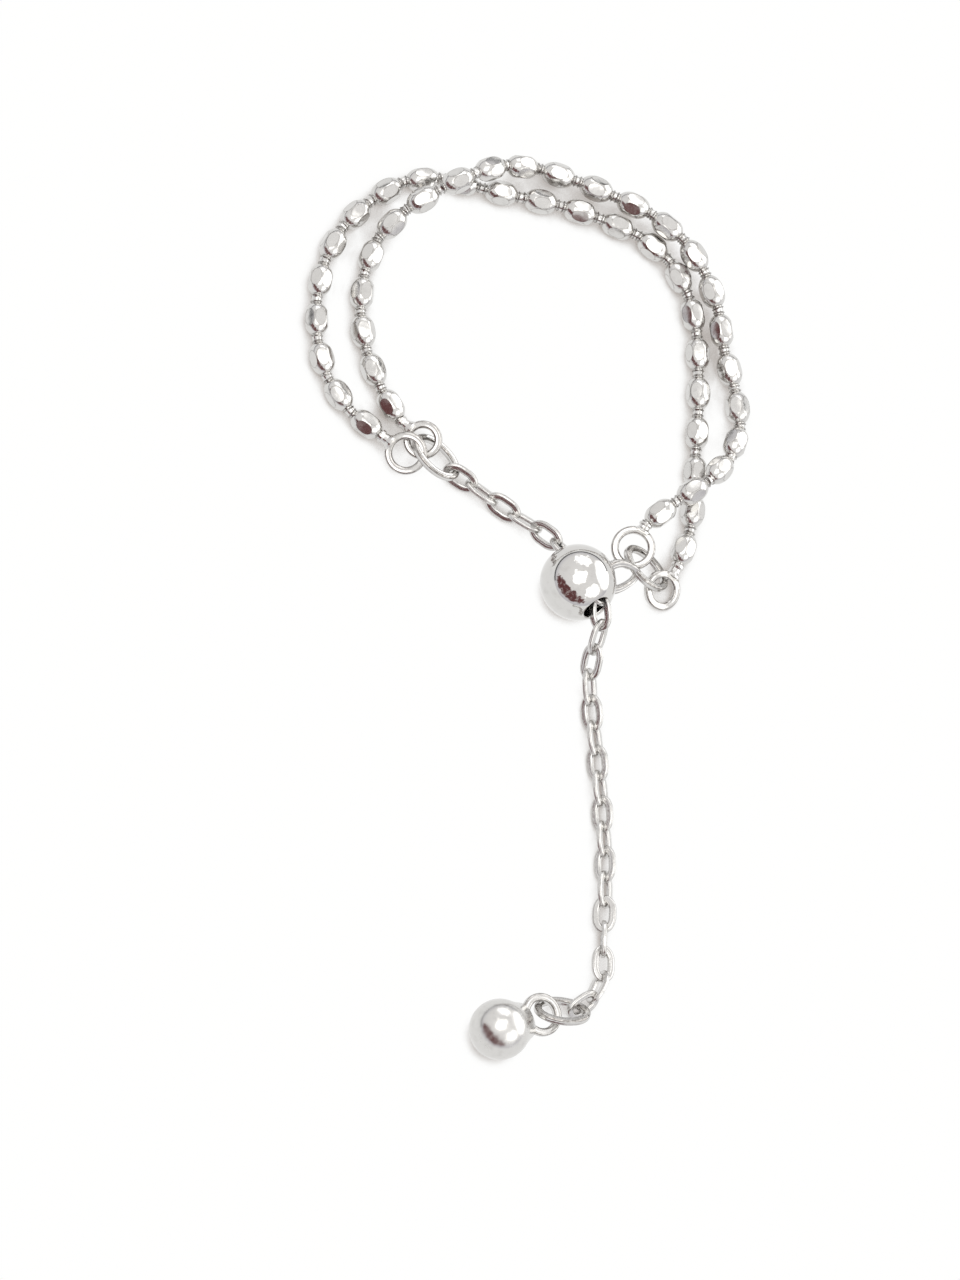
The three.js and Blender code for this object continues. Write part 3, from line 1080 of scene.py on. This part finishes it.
def card(name, azimuth, elevation, half_width, half_height, raggedness, radiance, colour, mottle):
    """A glowing board that faces the ring. It shows in the silver and not to the camera."""
    deselect_all()
    bpy.ops.mesh.primitive_plane_add(size=2.0)
    board = bpy.context.object
    board.name = name
    away = towards(azimuth, elevation)
    board.scale = (
        CARD_DISTANCE * math.tan(math.radians(half_width)),
        CARD_DISTANCE * math.tan(math.radians(half_height)),
        1.0,
    )
    board.rotation_euler = away.to_track_quat("Z", "Y").to_euler()
    board.location = away * CARD_DISTANCE
    board.visible_camera = False
    board.visible_shadow = False
    aspect = board.scale.x / board.scale.y
    board.data.materials.append(soft_glow(name, colour, mottle, radiance, raggedness, aspect, azimuth))


# The skirting: azimuths that it runs between, height as seen from the ring in degrees, sides of the
# whole circle, and shade
SKIRTING_START = 25
SKIRTING_END = 180
SKIRTING_HEIGHT = 5
SKIRTING_SIDES = 180
SKIRTING_SHADE = (0.16, 0.16, 0.16)


def dark_skirting():
    """A low dark wall along part of the horizon, which draws a thin line near the silver's edges."""
    deselect_all()
    tall = CARD_DISTANCE * math.tan(math.radians(SKIRTING_HEIGHT))
    bpy.ops.mesh.primitive_cylinder_add(
        vertices=SKIRTING_SIDES, radius=CARD_DISTANCE, depth=tall, end_fill_type="NOTHING"
    )
    wall = bpy.context.object
    wall.name = "dark_skirting"
    wall.location.z = tall / 2
    bpy.ops.object.mode_set(mode="EDIT")
    bpy.ops.mesh.select_all(action="DESELECT")
    bpy.ops.object.mode_set(mode="OBJECT")
    for face in wall.data.polygons:
        azimuth = math.degrees(math.atan2(face.center.y, face.center.x)) % 360
        face.select = not SKIRTING_START <= azimuth <= SKIRTING_END
    bpy.ops.object.mode_set(mode="EDIT")
    bpy.ops.mesh.delete(type="FACE")
    bpy.ops.object.mode_set(mode="OBJECT")
    wall.visible_camera = False
    wall.visible_shadow = False
    wall.data.materials.append(glow_finish("dark_skirting", SKIRTING_SHADE, 1.0))


# The floor: radius in metres, how far it lies under the ring in millimetres, its colour, the colour of
# the shade painted into its glow where it is closed in, how open it is when fully closed in and when
# clear, and the rays that tell
FLOOR_RADIUS = 4.0
FLOOR_GAP = 0.02
FLOOR_SIDES = 96
FLOOR_COLOUR = (1.0, 1.0, 0.995)
FLOOR_PAINTED_SHADE = (0.38, 0.34, 0.31)
FLOOR_OPENNESS = (0.3, 0.69)
SHADE_SAMPLES = 8
# The room: its colour at the horizon and from a height up, the height that it brightens from, and how
# much brighter it gets. Heights are sines of the elevation.
HORIZON_COLOUR = (0.74, 0.73, 0.77)
WALL_COLOUR = (1.0, 0.99, 0.98)
WALL_HEIGHT = 0.35
CEILING_HEIGHT = 0.5
CEILING_BRIGHTER = 1.1
# The camera: the height of its picture in metres, where it looks in millimetres, the size of its
# sensor in millimetres, and the nearest and furthest that it sees in metres
PICTURE_HEIGHT = 0.06656
CAMERA_TARGET = Vector((-2.63, -2.24, 0.5))
SENSOR = 36
NEAREST = 0.01
FURTHEST = 20


class CHAINRING_OT_stage(bpy.types.Operator):
    """Set up the pale floor, the soft boards of light and the camera"""

    bl_idname = "chainring.stage"
    bl_label = "Stage"

    def execute(self, context):
        stage = context.scene.ring_stage
        self.lay_floor(stage)
        for values in CARDS:
            card(*values)
        dark_skirting()
        self.light_room(context.scene, stage)
        self.set_camera(context.scene, stage)
        context.scene.view_settings.view_transform = "Standard"
        return {"FINISHED"}

    def lay_floor(self, stage):
        """A wide pale floor that glows evenly, with shade painted into its glow where the pieces that
        stand on it close it in.
        """
        deselect_all()
        bpy.ops.mesh.primitive_circle_add(vertices=FLOOR_SIDES, radius=FLOOR_RADIUS, fill_type="NGON")
        floor = bpy.context.object
        floor.name = "pale_floor"
        floor.location.z = cad_box[0].z - FLOOR_GAP * MILLIMETRE
        material = glow_finish("pale_floor", FLOOR_COLOUR, 1.0)
        tree = material.node_tree
        # Shade painted into the floor's glow from how closed in each point is
        openness = tree.nodes.new("ShaderNodeAmbientOcclusion")
        openness.samples = SHADE_SAMPLES
        openness.inputs["Distance"].default_value = stage.contact_reach * MILLIMETRE
        clear = ranged(tree, openness.outputs["AO"], 0.0, 1.0, *FLOOR_OPENNESS, smooth=True)
        colour = mixed(tree, clear, FLOOR_PAINTED_SHADE, FLOOR_COLOUR)
        tree.links.new(colour, node_of(tree, "EMISSION").inputs["Color"])
        floor.data.materials.append(material)

    def light_room(self, scene, stage):
        """A pale room, a little darker and cooler near the horizon and brighter towards its ceiling."""
        world = bpy.data.worlds.new("pale_room")
        scene.world = world
        world.use_nodes = True
        tree = world.node_tree
        background = tree.nodes["Background"]
        direction = tree.nodes.new("ShaderNodeSeparateXYZ")
        place = tree.nodes.new("ShaderNodeTexCoord")
        tree.links.new(place.outputs["Generated"], direction.inputs["Vector"])
        height = direction.outputs["Z"]
        above_horizon = ranged(tree, height, 0.0, 1.0, 0.0, WALL_HEIGHT, smooth=True)
        colour = mixed(tree, above_horizon, HORIZON_COLOUR, WALL_COLOUR)
        tree.links.new(colour, background.inputs["Color"])
        brightest = stage.room * CEILING_BRIGHTER
        radiance = ranged(tree, height, stage.room, brightest, CEILING_HEIGHT, 1.0)
        tree.links.new(radiance, background.inputs["Strength"])

    def set_camera(self, scene, stage):
        """Stands the camera so that the picture's upright is the ring's own length."""
        away = towards(stage.azimuth, stage.elevation)
        up = (Vector((0, 1, 0)) - away * away.y).normalized()
        right = up.cross(away)
        half_angle = math.atan(SENSOR / 2 / stage.lens)
        distance = PICTURE_HEIGHT / 2 / math.tan(half_angle)
        data = bpy.data.cameras.new("camera")
        data.sensor_width = SENSOR
        data.lens = stage.lens
        data.clip_start = NEAREST
        data.clip_end = FURTHEST
        camera = bpy.data.objects.new("camera", data)
        scene.collection.objects.link(camera)
        rotation = Matrix((right, up, away)).transposed()
        position = (CAMERA_TARGET + TO_FRAME) * MILLIMETRE + away * distance
        camera.matrix_world = placed(rotation, position)
        scene.camera = camera


# ---------------------------------------------------------------------------------------------
# Panel and registering
# ---------------------------------------------------------------------------------------------

OPERATORS = (
    CHAINRING_OT_stage,
    CHAINRING_OT_bead_strands,
    CHAINRING_OT_cable_chain,
    CHAINRING_OT_jump_rings,
    CHAINRING_OT_sliding_ball,
    CHAINRING_OT_end_ball,
)


class CHAINRING_PT_panel(bpy.types.Panel):
    """Lists the pieces of the ring and the sizes that they are made from"""

    bl_idname = "CHAINRING_PT_panel"
    bl_label = "Chain Ring"
    bl_space_type = "VIEW_3D"
    bl_region_type = "UI"
    bl_category = "Chain Ring"

    def draw(self, context):
        for operator in OPERATORS:
            self.layout.operator(operator.bl_idname)
        for name in SETTINGS:
            box = self.layout.box()
            settings = getattr(context.scene, name)
            for prop in settings.bl_rna.properties:
                if prop.identifier not in ("rna_type", "name"):
                    box.prop(settings, prop.identifier)


def register():
    for name, group in SETTINGS.items():
        bpy.utils.register_class(group)
        setattr(bpy.types.Scene, name, PointerProperty(type=group))
    for operator in OPERATORS:
        bpy.utils.register_class(operator)
    bpy.utils.register_class(CHAINRING_PT_panel)


def unregister():
    bpy.utils.unregister_class(CHAINRING_PT_panel)
    for operator in reversed(OPERATORS):
        bpy.utils.unregister_class(operator)
    for name, group in SETTINGS.items():
        delattr(bpy.types.Scene, name)
        bpy.utils.unregister_class(group)


def main():
    register()
    for operator in OPERATORS:
        group, name = operator.bl_idname.split(".")
        getattr(getattr(bpy.ops, group), name)()


if __name__ == "__main__":
    main()
